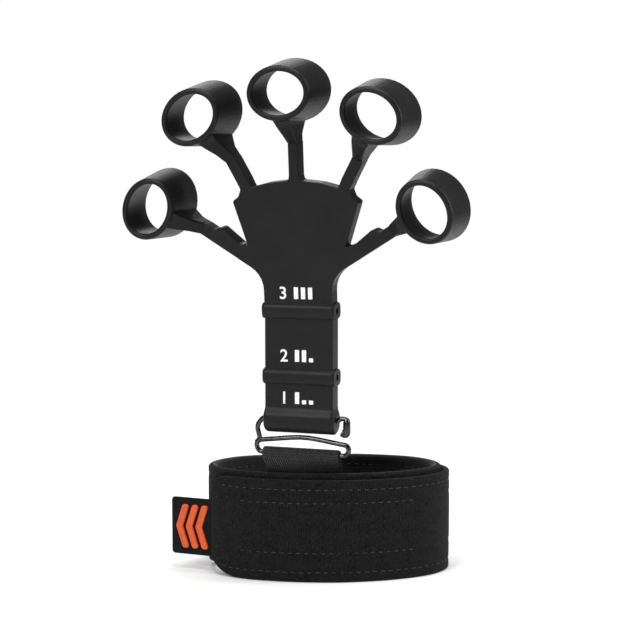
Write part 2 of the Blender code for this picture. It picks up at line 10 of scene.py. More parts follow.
import bmesh
import bpy
from mathutils import Euler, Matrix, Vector


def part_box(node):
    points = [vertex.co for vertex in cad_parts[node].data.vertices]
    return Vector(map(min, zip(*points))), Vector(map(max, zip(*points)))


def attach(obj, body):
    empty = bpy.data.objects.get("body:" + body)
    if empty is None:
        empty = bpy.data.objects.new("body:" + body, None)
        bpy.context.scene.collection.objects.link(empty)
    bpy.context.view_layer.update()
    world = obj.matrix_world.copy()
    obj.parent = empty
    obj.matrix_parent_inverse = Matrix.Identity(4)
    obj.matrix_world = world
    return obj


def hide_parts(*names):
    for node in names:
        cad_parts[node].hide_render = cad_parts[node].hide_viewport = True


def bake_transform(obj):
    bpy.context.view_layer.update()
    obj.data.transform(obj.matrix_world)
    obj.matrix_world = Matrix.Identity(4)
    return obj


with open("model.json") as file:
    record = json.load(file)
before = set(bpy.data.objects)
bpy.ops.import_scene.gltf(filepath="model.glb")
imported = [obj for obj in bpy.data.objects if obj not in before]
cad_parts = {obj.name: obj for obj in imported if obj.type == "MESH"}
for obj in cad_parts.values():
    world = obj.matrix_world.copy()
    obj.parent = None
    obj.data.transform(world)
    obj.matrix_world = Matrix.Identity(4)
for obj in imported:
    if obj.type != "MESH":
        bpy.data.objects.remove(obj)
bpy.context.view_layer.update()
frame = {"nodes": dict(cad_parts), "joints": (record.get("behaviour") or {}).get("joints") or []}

MM = 0.001
PROUD = 0.04 * MM
OVERLAP = 1.3 * MM

JOINTS = {joint["name"]: joint for joint in frame["joints"]}

# Silicone moulding: plate, neck, hem and ribs; heights from the hinge line.
PLATE = 7.6 * MM
MID_Y = PLATE / 2
NECK_HALF = 15.0 * MM
HEM_TOP = -37.3 * MM
HEM_BOTTOM = -48.1 * MM
HEM_HALF = 15.6 * MM
HEM_DEPTH = 10.8 * MM
HEM_SWELL_TOP = -36.6 * MM
HEM_FULL = -41.0 * MM
HEM_ROUND = -43.6 * MM
HEM_EDGE = 0.9 * MM
SLICE = 0.7 * MM
NECK_TOP = -1.0 * MM
RIB_LEVEL = -23.9 * MM
RIB_SIZE = (31.8 * MM, 10.2 * MM, 7.4 * MM)
BORE = 1.4 * MM
EDGE = 0.6 * MM
LEAN = math.radians(5.7)
NECK_ROOT = Vector(JOINTS["neck_bend"]["pos_m"])
HINGE = NECK_ROOT - Vector((0.0, MID_Y, HEM_TOP + 0.3 * MM))

# Each finger: root and end of its arm in the palm plane, and the arm's width.
FINGERS = {
    1: ((-24.4, 28.9), (-40.8, 37.8), 5.0),
    2: ((-22.9, 58.5), (-27.2, 66.5), 4.9),
    3: ((0.0, 60.6), (0.0, 73.2), 4.3),
    4: ((22.9, 58.5), (27.2, 66.5), 4.9),
    5: ((24.4, 28.9), (40.8, 37.8), 5.0),
}
WING_LOW = ((26.7, 25.95, 0.0), (33.9, 30.45, 6.0), (42.1, 35.6, 0.0))
WING_HIGH = ((39.6, 39.95, 0.0), (36.1, 37.7, 1.2), (33.2, 38.9, 1.8), (24.9, 32.0, 2.5), (23.1, 31.75, 0.0))

# Wire buckle: x, z and corner radius in mm from the hinge line.
WIRE = 1.05 * MM
HOOK_PIN = (
    (-18.7, -51.4, 0.0), (-20.1, -45.8, 4.0), (-17.2, -42.2, 2.6),
    (16.2, -42.2, 1.2), (17.2, -41.2, 1.2), (20.0, -41.2, 2.9), (20.0, -48.0, 2.9), (17.8, -47.2, 0.0),
)
FRAME_WIRE = (
    (-18.6, -50.8, 0.0), (-20.6, -54.0, 3.4), (-19.0, -57.0, 2.2), (20.4, -57.0, 3.0),
    (21.3, -52.6, 2.6), (1.3, -49.6, 44.0), (-18.6, -51.9, 3.0), (-20.4, -53.0, 0.0),
)
BAR_Z = -57.0 * MM

# Wrist strap: an oval band with a flap over its front. Corners are (reach along, height).
BAND_LOW, BAND_HIGH = (Vector(corner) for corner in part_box("band_cover"))
STRAP = Vector(((BAND_LOW.x + BAND_HIGH.x) / 2, (BAND_LOW.y + BAND_HIGH.y) / 2, 0.0))
STRAP_TURN = math.radians(18.6)
BAND_A = 50.6 * MM
BAND_B = 25.8 * MM
BAND_THICK = 3.5 * MM
BAND_TOP = BAND_HIGH.z
BAND_RISE = 3.4 * MM
BAND_RISE_AT = math.radians(196)
BAND_RISE_SPAN = 0.8
FLAP_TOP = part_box("closing_flap")[1][2]
FLAP_INNER = 1.0 * MM
FLAP_OUTER = 3.6 * MM
FLAP_START = math.radians(-156)
ANCHOR_END = math.radians(36)
TOP_CORNER = (11.0 * MM, 4.8 * MM)
LOW_CORNER = (16.0 * MM, 9.5 * MM)
STITCH_ROWS = (39.4 * MM, 33.7 * MM, 12.4 * MM, 4.2 * MM)
STITCH = 2.3 * MM
STITCH_PITCH = 3.5 * MM
THREAD_RADIUS = 0.17 * MM
STITCH_INSET = 4.0 * MM
STITCH_LOW_CORNER = 7.0 * MM
STITCH_TOP_CORNER = 4.0 * MM
BAND_STITCH = 4.4 * MM

# Webbing folded round the lower bar of the buckle.
WEB_HALF = 16.9 * MM
WEB_PLY = 1.15 * MM
WEB_LOW = 16.0 * MM
WEB_HIGH = 46.6 * MM
WEB_TURNED = 52.1 * MM
WEB_CENTRE = -9.0 * MM
WEB_INSET = -4.85 * MM
WEAVE_FOLD = 5.2 * MM
# Painted shade on the webbing: distances off the fold where its colour starts and stops darkening.
WEAVE_PAINTED_SHADE = (5.5 * MM, 15.0 * MM)

# Pull tab and its three arrows.
TAB_LOW, TAB_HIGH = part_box("pull_tab")[0][2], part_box("pull_tab")[1][2]
TAB_THICK = 0.8 * MM
TAB_LENGTH = 20.9 * MM
TAB_HINGE = 2.0 * MM
TAB_TURN = math.radians(158)
TAB_CORNER = 1.6 * MM
ARROW_START = 4.8 * MM
ARROW_STEP = 4.6 * MM
ARROW_WIDTH = 3.2 * MM
ARROW_BACK = 3.2 * MM
ARROW_HALF = 9.6 * MM

# Printed level marks: a numeral and three bars.
MARK_HEIGHT = 5.0 * MM
SHORT_BAR = 0.34 * MARK_HEIGHT
NUMERAL_LEFT = -8.2 * MM
BARS_LEFT = -1.6 * MM
BAR_STEP = 3.1 * MM
BAR_WIDTH = 1.9 * MM

# Camera, from the hinge line, with its dip and turn in degrees.
CAMERA_OFFSET = Vector((0.21996, -0.6346, 0.0670))
CAMERA_LENS = 91.0
CAMERA_DIP = 5.68
CAMERA_TURN = 18.35

# Soft boxes: name, place, target, size and watts.
LIGHTS = (
    ("key", (-0.35, -1.1, 0.75), (0.0, 0.0, 0.1), (0.5, 0.4), 9.0),
    ("band", (0.66, 0.18, 0.42), (0.0, 0.0, 0.17), (0.16, 0.6), 3.4),
    ("rear", (-0.5, 0.95, 0.65), (0.0, 0.0, 0.08), (0.6, 0.4), 2.2),
    ("top", (0.0, -0.1, 1.1), (0.0, 0.0, 0.1), (0.9, 0.9), 14.0),
)
ROOM_LIGHT = 0.10
FLOOR_FADE = (0.16, 0.55)


# ---------------------------------------------------------------- materials

class Shader:
    """A material with a Principled shader and short calls for its pattern nodes."""

    def __init__(self, name, roughness=0.5, metallic=0.0, specular=0.5):
        self.material = bpy.data.materials.new(name)
        self.material.use_nodes = True
        self.nodes = self.material.node_tree.nodes
        self.links = self.material.node_tree.links
        self.surface = self.nodes["Principled BSDF"]
        self.surface.inputs["Roughness"].default_value = roughness
        self.surface.inputs["Metallic"].default_value = metallic
        self.surface.inputs["Specular IOR Level"].default_value = specular

    def add(self, kind, **values):
        node = self.nodes.new(kind)
        for key, value in values.items():
            if hasattr(node, key):
                setattr(node, key, value)
            else:
                node.inputs[key].default_value = value
        return node

    def join(self, source, target):
        self.links.new(source, target)

    def place(self, layer=None):
        """Coordinates for a pattern: the object's own space, or a named UV map in metres."""
        if layer:
            return self.add("ShaderNodeUVMap", uv_map=layer).outputs["UV"]
        return self.add("ShaderNodeTexCoord").outputs["Object"]

    def stretch(self, vector, scale):
        node = self.add("ShaderNodeMapping", Scale=scale)
        self.join(vector, node.inputs["Vector"])
        return node.outputs["Vector"]

    def noise(self, vector, scale, detail=3.0, rough=0.55):
        node = self.add("ShaderNodeTexNoise", Scale=scale, Detail=detail, Roughness=rough)
        self.join(vector, node.inputs["Vector"])
        return node.outputs["Fac"]

    def wave(self, vector, scale, direction="X", distortion=0.0, detail_scale=1.0):
        values = {"Scale": scale, "Distortion": distortion, "Detail Scale": detail_scale, "Detail": 1.0}
        node = self.add("ShaderNodeTexWave", wave_type="BANDS", bands_direction=direction, **values)
        self.join(vector, node.inputs["Vector"])
        return node.outputs["Fac"]

    def math(self, operation, first, second):
        node = self.add("ShaderNodeMath", operation=operation)
        for socket, value in zip(node.inputs, (first, second)):
            if isinstance(value, (int, float)):
                socket.default_value = value
            else:
                self.join(value, socket)
        return node.outputs["Value"]

    def span(self, value, low, high):
        """Maps 0..1 linearly onto low..high."""
        node = self.add("ShaderNodeMapRange")
        node.inputs["To Min"].default_value = low
        node.inputs["To Max"].default_value = high
        self.join(value, node.inputs["Value"])
        return node.outputs["Result"]

    def colour(self, value, stops):
        """Colour ramp from (position, (r, g, b)) stops onto the base colour."""
        node = self.add("ShaderNodeValToRGB")
        elements = node.color_ramp.elements
        while len(elements) < len(stops):
            elements.new(0.5)
        for element, (position, rgb) in zip(elements, stops):
            element.position = position
            element.color = (*rgb, 1.0)
        self.join(value, node.inputs["Fac"])
        self.join(node.outputs["Color"], self.surface.inputs["Base Color"])

    def rough(self, value, low, high):
        self.join(self.span(value, low, high), self.surface.inputs["Roughness"])

    def bump(self, value, distance, strength=1.0):
        node = self.add("ShaderNodeBump", Distance=distance, Strength=strength)
        self.join(value, node.inputs["Height"])
        self.join(node.outputs["Normal"], self.surface.inputs["Normal"])


def silicone():
    s = Shader("silicone_matte", specular=0.19)
    where = s.place()
    cloud = s.noise(where, 90.0, 4.0)
    grain = s.noise(where, 2600.0, 2.0)
    s.colour(cloud, ((0.3, (0.0060, 0.0060, 0.0063)), (0.7, (0.0090, 0.0090, 0.0094))))
    s.rough(s.noise(where, 420.0, 5.0), 0.38, 0.50)
    s.bump(grain, 0.00002, 0.5)
    return s.material


def white_ink():
    s = Shader("white_ink", roughness=0.55)
    where = s.place()
    s.colour(s.noise(where, 1500.0, 3.0), ((0.25, (0.70, 0.70, 0.69)), (0.6, (0.86, 0.86, 0.85))))
    s.bump(s.noise(where, 3200.0, 2.0), 0.00002, 0.4)
    return s.material


def black_nickel():
    s = Shader("black_nickel_wire", metallic=1.0)
    where = s.place()
    s.colour(s.noise(where, 300.0, 3.0), ((0.3, (0.040, 0.040, 0.042)), (0.7, (0.085, 0.085, 0.088))))
    s.rough(s.noise(where, 900.0, 4.0), 0.14, 0.28)
    s.bump(s.noise(where, 1800.0, 2.0), 0.00001, 0.3)
    return s.material


def brushed_fabric(name, dark, light, rib=1.05 * MM):
    """Loop-pile fabric: fine upright ribs broken up by short matted fibres."""
    s = Shader(name, roughness=0.95, specular=0.12)
    s.surface.inputs["Sheen Weight"].default_value = 0.045
    s.surface.inputs["Sheen Roughness"].default_value = 0.45
    where = s.place("cloth")
    ribs = s.wave(where, math.tau / (20.0 * rib), "X", 1.6, 0.5)
    fibre = s.noise(s.stretch(where, (1.0, 0.45, 1.0)), 1500.0, 5.0, 0.65)
    matted = s.noise(where, 240.0, 4.0, 0.6)
    fleck = s.math("MULTIPLY", s.math("GREATER_THAN", s.noise(where, 2300.0, 1.0), 0.66), 0.35)
    mix = s.math("ADD", s.math("MULTIPLY", fibre, 0.62), s.math("MULTIPLY", ribs, 0.06))
    mix = s.math("ADD", s.math("ADD", mix, s.math("MULTIPLY", matted, 0.22)), fleck)
    middle = tuple(0.55 * d + 0.45 * l for d, l in zip(dark, light))
    s.colour(mix, ((0.34, dark), (0.52, middle), (0.78, light)))
    s.bump(s.math("ADD", fibre, s.math("MULTIPLY", ribs, 0.25)), 0.00035, 0.9)
    return s.material


def knit_lining():
    s = Shader("lining_knit", roughness=0.92, specular=0.15)
    s.surface.inputs["Sheen Weight"].default_value = 0.2
    where = s.place("cloth")
    rows = s.wave(where, 250.0, "X", 1.0, 2.0)
    loops = s.wave(where, 250.0, "Y", 1.0, 2.0)
    fibre = s.noise(where, 1800.0, 4.0)
    stitches = s.math("MULTIPLY", s.math("MULTIPLY", rows, loops), 0.4)
    mix = s.math("ADD", stitches, s.math("MULTIPLY", fibre, 0.6))
    s.colour(mix, ((0.25, (0.006, 0.006, 0.007)), (0.75, (0.020, 0.020, 0.022))))
    s.bump(mix, 0.0002, 0.8)
    return s.material


def woven_webbing():
    """Ribbed webbing: a herringbone where it turns over the bar, cords below, with painted shade darkening it
    towards the sewn end.
    """
    s = Shader("webbing_weave", roughness=0.62, specular=0.2)
    s.surface.inputs["Sheen Weight"].default_value = 0.03
    where = s.place("cloth")
    parts = s.add("ShaderNodeSeparateXYZ")
    s.join(where, parts.inputs["Vector"])
    across, along = parts.outputs["X"], parts.outputs["Y"]
    cord_half, pick_half, twill_half, chevron_half = 0.52 * MM, 0.36 * MM, 0.5 * MM, 1.5 * MM
    cord = s.math("DIVIDE", s.math("PINGPONG", across, cord_half), cord_half)
    pick = s.math("DIVIDE", s.math("PINGPONG", along, pick_half), pick_half)
    ribbed = s.math("ADD", s.math("MULTIPLY", cord, 0.78), s.math("MULTIPLY", pick, 0.22))
    zigzag = s.math("ADD", along, s.math("PINGPONG", across, chevron_half))
    twill = s.math("DIVIDE", s.math("PINGPONG", zigzag, twill_half), twill_half)
    fold = s.math("LESS_THAN", s.math("ABSOLUTE", along, 0.0), WEAVE_FOLD)
    upright = s.math("MULTIPLY", ribbed, s.math("SUBTRACT", 1.0, fold))
    woven = s.math("ADD", s.math("MULTIPLY", twill, fold), upright)
    fibre = s.noise(s.stretch(where, (1.0, 0.3, 1.0)), 2600.0, 3.0)
    # Painted shade: the weave's colour and bump height fall to 0.55 going away from the fold towards the sewn
    # end, in place of the shadow inside the band.
    depth = s.add("ShaderNodeMapRange", interpolation_type="SMOOTHSTEP")
    painted_shade_ramp = {"From Min": WEAVE_PAINTED_SHADE[0], "From Max": WEAVE_PAINTED_SHADE[1], "To Min": 1.0, "To Max": 0.55}
    for socket, value in painted_shade_ramp.items():
        depth.inputs[socket].default_value = value
    s.join(s.math("ABSOLUTE", along, 0.0), depth.inputs["Value"])
    height = s.math("ADD", s.math("MULTIPLY", woven, 0.75), s.math("MULTIPLY", fibre, 0.3))
    height = s.math("MULTIPLY", height, depth.outputs["Result"])
    stops = ((0.30, (0.0015, 0.0015, 0.002)), (0.62, (0.008, 0.008, 0.009)), (0.92, (0.115, 0.115, 0.120)))
    s.colour(height, stops)
    s.bump(height, 0.0003, 1.0)
    return s.material


def thread():
    s = Shader("stitch_thread", roughness=0.7, specular=0.35)
    s.surface.inputs["Sheen Weight"].default_value = 0.3
    where = s.place()
    s.colour(s.noise(where, 2200.0, 3.0), ((0.3, (0.009, 0.009, 0.010)), (0.7, (0.025, 0.025, 0.0265))))
    s.bump(s.wave(where, 900.0, "DIAGONAL"), 0.00004, 0.8)
    return s.material


def hook_tape_plastic():
    s = Shader("hook_tape_plastic", roughness=0.55)
    where = s.place()
    dots = s.add("ShaderNodeTexVoronoi", Scale=1100.0)
    s.join(where, dots.inputs["Vector"])
    s.colour(dots.outputs["Distance"], ((0.0, (0.05, 0.05, 0.052)), (0.6, (0.008, 0.008, 0.009))))
    s.bump(s.math("SUBTRACT", 1.0, dots.outputs["Distance"]), 0.0006, 1.0)
    return s.material


def leatherette():
    s = Shader("tab_leatherette", specular=0.08)
    where = s.place()
    cells = s.add("ShaderNodeTexVoronoi", Scale=1300.0, feature="SMOOTH_F1")
    s.join(where, cells.inputs["Vector"])
    s.colour(s.noise(where, 200.0, 4.0), ((0.3, (0.0045, 0.0045, 0.0052)), (0.7, (0.0085, 0.0085, 0.0095))))
    s.rough(s.noise(where, 900.0, 3.0), 0.5, 0.68)
    s.bump(cells.outputs["Distance"], 0.00012, 0.8)
    return s.material


def orange_rubber():
    s = Shader("arrow_rubber", specular=0.4)
    where = s.place()
    s.colour(s.noise(where, 500.0, 3.0), ((0.3, (0.58, 0.068, 0.008)), (0.7, (0.72, 0.100, 0.013))))
    s.rough(s.noise(where, 1200.0, 2.0), 0.42, 0.56)
    s.bump(s.noise(where, 2500.0, 2.0), 0.00004, 0.5)
    return s.material


SILICONE = silicone()
INK = white_ink()
NICKEL = black_nickel()
PILE = brushed_fabric("loop_pile", (0.0012, 0.0012, 0.0014), (0.024, 0.024, 0.0255))
LINING = knit_lining()
WEAVE = woven_webbing()
THREAD = thread()
HOOKS = hook_tape_plastic()
LEATHER = leatherette()
ORANGE = orange_rubber()


# ---------------------------------------------------------------- mesh helpers

def new_object(name, bm, material, smooth=True):
    mesh = bpy.data.meshes.new(name)
    bmesh.ops.recalc_face_normals(bm, faces=bm.faces)
    bm.to_mesh(mesh)
    bm.free()
    for polygon in mesh.polygons:
        polygon.use_smooth = smooth
    mesh.materials.append(material)
    obj = bpy.data.objects.new(name, mesh)
    bpy.context.scene.collection.objects.link(obj)
    return obj


def lattice(name, rows, material, uv=None, ring=False, caps=True):
    """Closed surface through rows of matching closed loops; uv(row, column) gives cloth coordinates."""
    bm = bmesh.new()
    layer = bm.loops.layers.uv.new("cloth") if uv else None
    grid = [[bm.verts.new(point) for point in row] for row in rows]
    height, width = len(grid), len(grid[0])
    for i in range(height if ring else height - 1):
        for j in range(width):
            corners = ((i, j), (i, j + 1), (i + 1, j + 1), (i + 1, j))
            face = bm.faces.new([grid[a % height][b % width] for a, b in corners])
            if layer:
                for loop, (a, b) in zip(face.loops, corners):
                    loop[layer].uv = uv(a, b)
    if caps and not ring:
        bm.faces.new(grid[0])
        bm.faces.new(grid[-1])
    return new_object(name, bm, material)


def modify(obj, kind, **values):
    modifier = obj.modifiers.new(kind.title(), kind)
    for key, value in values.items():
        setattr(modifier, key, value)
    return modifier


def bake(obj):
    """Turns the shape under the modifiers into the mesh itself."""
    shape = obj.evaluated_get(bpy.context.evaluated_depsgraph_get())
    mesh = bpy.data.meshes.new_from_object(shape)
    obj.modifiers.clear()
    obj.data = mesh
    return obj


def moulded(obj, cell=0.3 * MM, rounds=6):
    """Fine remesh and a light smoothing, which round every corner a little as a mould does."""
    modify(obj, "REMESH", mode="VOXEL", voxel_size=cell, use_smooth_shade=True)
    modify(obj, "SMOOTH", factor=0.5, iterations=rounds)


def crisp(obj):
    """Smooth shading over bevels with flat faces kept flat."""
    for polygon in obj.data.polygons:
        polygon.use_smooth = True
    obj.data.set_sharp_from_angle(angle=math.radians(50))
    modify(obj, "WEIGHTED_NORMAL", mode="FACE_AREA", weight=80, keep_sharp=True)


def rounded(points, closed=True):
    """Replaces each corner (x, y, radius) of an outline with an arc of that radius."""
    out = []
    count = len(points)
    for index, (x, y, radius) in enumerate(points):
        corner = Vector((x, y))
        if radius <= 0 or (not closed and index in (0, count - 1)):
            out.append(corner)
            continue
        before = Vector(points[index - 1][:2]) - corner
        after = Vector(points[(index + 1) % count][:2]) - corner
        opening = before.angle(after)
        turn = math.pi - opening
        reach = min(radius * math.tan(turn / 2), 0.48 * before.length, 0.48 * after.length)
        radius = reach / math.tan(turn / 2)
        bisector = (before.normalized() + after.normalized()).normalized()
        centre = corner + bisector * (radius / math.sin(opening / 2))
        start = corner + before.normalized() * reach - centre
        steps = max(3, math.ceil(turn / math.radians(8)))
        side = 1 if before.x * after.y - before.y * after.x < 0 else -1
        for step in range(steps + 1):
            angle = side * turn * step / steps
            c, s = math.cos(angle), math.sin(angle)
            out.append(centre + Vector((start.x * c - start.y * s, start.x * s + start.y * c)))
    return out


def smooth_step(t):
    t = max(0.0, min(1.0, t))
    return t * t * (3 - 2 * t)


def palm_point(u, y, v):
    return Euler((LEAN, 0.0, 0.0)).to_matrix() @ Vector((u, y, v)) + HINGE


def neck_point(x, y, z):
    return Vector((x, y, z)) + HINGE


# ---------------------------------------------------------------- silicone hand

def palm_prism(name, outline):
    """Plate in the palm plane, standing a hair proud of the moulding it covers, with rounded edges."""
    bm = bmesh.new()
    faces = []
    for y in (-PROUD, PLATE + PROUD):
        faces.append([bm.verts.new((p.x, y, p.y)) for p in outline])
    for i in range(len(outline)):
        j = (i + 1) % len(outline)
        bm.faces.new((faces[0][i], faces[0][j], faces[1][j], faces[1][i]))
    bm.faces.new(faces[0])
    bm.faces.new(faces[1])
    obj = new_object(name, bm, SILICONE)
    modify(obj, "BEVEL", width=EDGE, segments=4, limit_method="ANGLE", angle_limit=math.radians(60))
    return bake(obj)


def arm_outline(number):
    root, end, width = FINGERS[number]
    root, end = Vector(root) * MM, Vector(end) * MM
    along = (end - root).normalized()
    if number in (1, 5):
        mirror = -1 if number == 1 else 1
        low = [Vector((p.x * mirror, p.y)) * MM for p in rounded(WING_LOW, closed=False)]
        high = [Vector((p.x * mirror, p.y)) * MM for p in rounded(WING_HIGH, closed=False)]
        ring = [low[0] - along * OVERLAP] + low + [low[-1] + along * OVERLAP]
        return ring + [high[0] + along * OVERLAP] + high + [high[-1] - along * OVERLAP]
    side = Vector((-along.y, along.x)) * (width / 2 * MM + PROUD)
    near, far = root - along * OVERLAP, end + along * OVERLAP
    return [near - side, far - side, far + side, near + side]


def keep_side(obj, name, spot, normal, slices):
    """Copy of a piece on the side of a plane that normal points to, sliced in steps along it."""
    bm = bmesh.new()
    bm.from_mesh(obj.data)
    for step in slices:
        everything = bm.verts[:] + bm.edges[:] + bm.faces[:]
        bmesh.ops.bisect_plane(bm, geom=everything, plane_co=spot + normal * step, plane_no=normal)
    everything = bm.verts[:] + bm.edges[:] + bm.faces[:]
    cut = bmesh.ops.bisect_plane(bm, geom=everything, plane_co=spot, plane_no=normal, clear_inner=True)
    edges = [e for e in cut["geom_cut"] if isinstance(e, bmesh.types.BMEdge)]
    bmesh.ops.holes_fill(bm, edges=edges)
    piece = new_object(name, bm, SILICONE)
    for vertex in piece.data.vertices:
        vertex.co = palm_point(*vertex.co)
    crisp(piece)
    return bake(piece)


def make_arm(number):
    """The arm in two halves, cut across its middle: one towards the palm, the other towards the loop."""
    whole = palm_prism(f"arm_{number}", arm_outline(number))
    root, end, _ = FINGERS[number]
    root, end = Vector((root[0], 0.0, root[1])) * MM, Vector((end[0], 0.0, end[1])) * MM
    along = (end - root).normalized()
    length = (end - root).length
    middle = (root + end) / 2
    slices = [SLICE * step for step in range(1, int(0.6 * length / SLICE))]
    lower = keep_side(whole, f"arm_{number}_lower", middle, -along, slices)
    upper = keep_side(whole, f"arm_{number}_upper", middle, along, slices)
    bpy.data.objects.remove(whole, do_unlink=True)

    def spot(distance):
        point = root + along * distance
        return palm_point(point.x, MID_Y, point.z)

    spot(-0.2 * MM)
    spot(0.46 * length)
    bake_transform(lower)
    spot(0.54 * length)
    spot(length + 0.2 * MM)
    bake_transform(upper)
    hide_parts(f"finger_arm_{number}")


def hem_shape(z):
    """Half width, half depth and edge radius of the neck at a height, swelling into the hem below."""
    swell = smooth_step((HEM_SWELL_TOP - z) / (HEM_SWELL_TOP - HEM_FULL))
    half_x = NECK_HALF + PROUD + (HEM_HALF - NECK_HALF) * swell
    half_y = MID_Y + PROUD + (HEM_DEPTH / 2 - MID_Y) * swell
    radius = EDGE + HEM_EDGE * swell
    low = max(0.0, (HEM_ROUND - z) / (HEM_ROUND - HEM_BOTTOM))
    tuck = math.sqrt(1 - min(1.0, low) ** 2)
    depth = half_y * max(0.03, tuck)
    return half_x - HEM_EDGE * (1 - tuck), depth, min(radius, depth * 0.9)


def neck_plate(name, low, high):
    """Length of the neck: a rounded bar cut into short slices."""
    count = round((high - low) / SLICE)
    heights = [low + (high - low) * step / count for step in range(count + 1)]
    if low < HEM_ROUND:
        quarter = [math.sin(math.pi / 2 * step / 16) for step in range(16, 0, -1)]
        turned = [HEM_ROUND + (HEM_BOTTOM - HEM_ROUND) * fall for fall in quarter]
        heights = turned + [z for z in heights if z > HEM_ROUND]
    rows = []
    for z in heights:
        x, y, radius = hem_shape(z)
        ring = rounded(((x, y, radius), (-x, y, radius), (-x, -y, radius), (x, -y, radius)))
        rows.append([neck_point(p.x, MID_Y + p.y, z) for p in ring])
    plate = lattice(name, rows, SILICONE)
    if low > HEM_ROUND:
        crisp(plate)
        bake(plate)
    return plate


def bead_rows(level, size, columns=40):
    """Loops across a rounded bead whose ends are eased."""
    length, depth, height = size
    ring = []
    for step in range(columns):
        angle = math.tau * step / columns
        c, s = math.cos(angle), math.sin(angle)
        y = math.copysign(abs(c) ** 0.6, c) * depth / 2
        z = math.copysign(abs(s) ** 0.6, s) * height / 2
        ring.append((y, z))
    rows = []
    near = ((-0.5, 0.88), (-0.492, 0.94), (-0.48, 0.98), (-0.46, 1.0))
    far = tuple((-along, scale) for along, scale in reversed(near))
    for along, scale in near + far:
        rows.append([neck_point(along * length, MID_Y + y * scale, level + z * scale) for y, z in ring])
    return rows


def make_neck():
    gap = BORE + 0.3 * MM
    lower = neck_plate("neck_lower", HEM_BOTTOM, RIB_LEVEL - gap)
    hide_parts("neck_hem")
    upper = neck_plate("neck_upper", RIB_LEVEL + gap, NECK_TOP + OVERLAP)
    rib = lattice("neck_rib", bead_rows(RIB_LEVEL, RIB_SIZE), SILICONE)
    hole = []
    for x in (-RIB_SIZE[0], RIB_SIZE[0]):
        ring = []
        for step in range(32):
            angle = math.tau * step / 32
            ring.append(neck_point(x, MID_Y + BORE * math.cos(angle), RIB_LEVEL + BORE * math.sin(angle)))
        hole.append(ring)
    cutter = lattice("rib_bore", hole, SILICONE)
    modify(rib, "BOOLEAN", operation="DIFFERENCE", solver="EXACT", object=cutter)
    bake(rib)
    bpy.data.objects.remove(cutter, do_unlink=True)
    crisp(rib)
    bake(rib)
    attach(rib, "neck")
    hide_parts("neck_strip")
    bend_neck_low(lower)
    bend_neck_high(upper)


def bend_neck_low(obj):
    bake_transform(obj)


def bend_neck_high(obj):
    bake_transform(obj)


def dress_silicone_nodes():
    for number in FINGERS:
        moulded(frame["nodes"][f"finger_loop_{number}"], 0.27 * MM, 7)
    crisp(frame["nodes"]["palm_plate"])
    for number in FINGERS:
        repaint(f"finger_loop_{number}", SILICONE)
    repaint("palm_plate", SILICONE)


def repaint(node, material):
    obj = frame["nodes"][node]
    for slot in obj.material_slots:
        slot.material = material


def make_mark(number, middle, on_palm=False):
    """Level numeral and three bars, as many of them tall as the level."""
    curve = bpy.data.curves.new(f"numeral_{number}", "FONT")
    curve.body = str(number)
    curve.size = MARK_HEIGHT / 0.69
    curve.offset = 0.10 * MM
    curve.extrude = 0.03 * MM
    text = bpy.data.objects.new("numeral", curve)
    bpy.context.scene.collection.objects.link(text)
    bpy.context.view_layer.update()
    letter = bpy.data.meshes.new_from_object(text.evaluated_get(bpy.context.evaluated_depsgraph_get()))
    bpy.data.objects.remove(text, do_unlink=True)
    bm = bmesh.new()
    bm.from_mesh(letter)
    for vertex in bm.verts:
        x, z, y = vertex.co
        vertex.co = (x + NUMERAL_LEFT, -PROUD - 0.02 * MM - y, z + middle - MARK_HEIGHT / 2)
    for bar in range(3):
        tall = MARK_HEIGHT if bar < number else SHORT_BAR
        left = BARS_LEFT + bar * BAR_STEP
        corners = ((left, 0.0), (left + BAR_WIDTH, 0.0), (left + BAR_WIDTH, tall), (left, tall))
        ring = rounded([(x, z, 0.3 * MM) for x, z in corners])
        sides = []
        for y in (-PROUD - 0.05 * MM, -PROUD + 0.01 * MM):
            sides.append([bm.verts.new((p.x, y, middle - MARK_HEIGHT / 2 + p.y)) for p in ring])
        for i in range(len(ring)):
            j = (i + 1) % len(ring)
            bm.faces.new((sides[0][i], sides[0][j], sides[1][j], sides[1][i]))
        bm.faces.new(sides[0])
        bm.faces.new(sides[1])
    mark = new_object(f"print_level_{number}", bm, INK, smooth=False)
    place = palm_point if on_palm else neck_point
    for vertex in mark.data.vertices:
        vertex.co = place(*vertex.co)
    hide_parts(f"level_mark_{number}")
    return mark


# ---------------------------------------------------------------- wire buckle

def make_wire(name, path, body, node, swell=None):
    """Round bent wire with soft ends; swell(t) widens it along its length."""
    points = rounded(path, closed=False)
    curve = bpy.data.curves.new(name, "CURVE")
    curve.dimensions = "3D"
    curve.bevel_depth = WIRE
    curve.bevel_resolution = 6
    curve.use_fill_caps = True
    spline = curve.splines.new("POLY")
    spline.points.add(len(points) - 1)
    for index, (slot, point) in enumerate(zip(spline.points, points)):
        slot.co = (*neck_point(point.x * MM, MID_Y, point.y * MM), 1.0)
        slot.radius = swell(index / (len(points) - 1)) if swell else 1.0
    source = bpy.data.objects.new(name, curve)
    bpy.context.scene.collection.objects.link(source)
    bpy.context.view_layer.update()
    mesh = bpy.data.meshes.new_from_object(source.evaluated_get(bpy.context.evaluated_depsgraph_get()))
    bpy.data.objects.remove(source, do_unlink=True)
    bm = bmesh.new()
    bm.from_mesh(mesh)
    bmesh.ops.remove_doubles(bm, verts=bm.verts, dist=0.00001)
    wire = new_object(name, bm, NICKEL)
    modify(wire, "BEVEL", width=0.35 * MM, segments=3, limit_method="ANGLE", angle_limit=math.radians(60))
    bake(wire)
    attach(wire, body)
    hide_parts(node)


# ---------------------------------------------------------------- strap

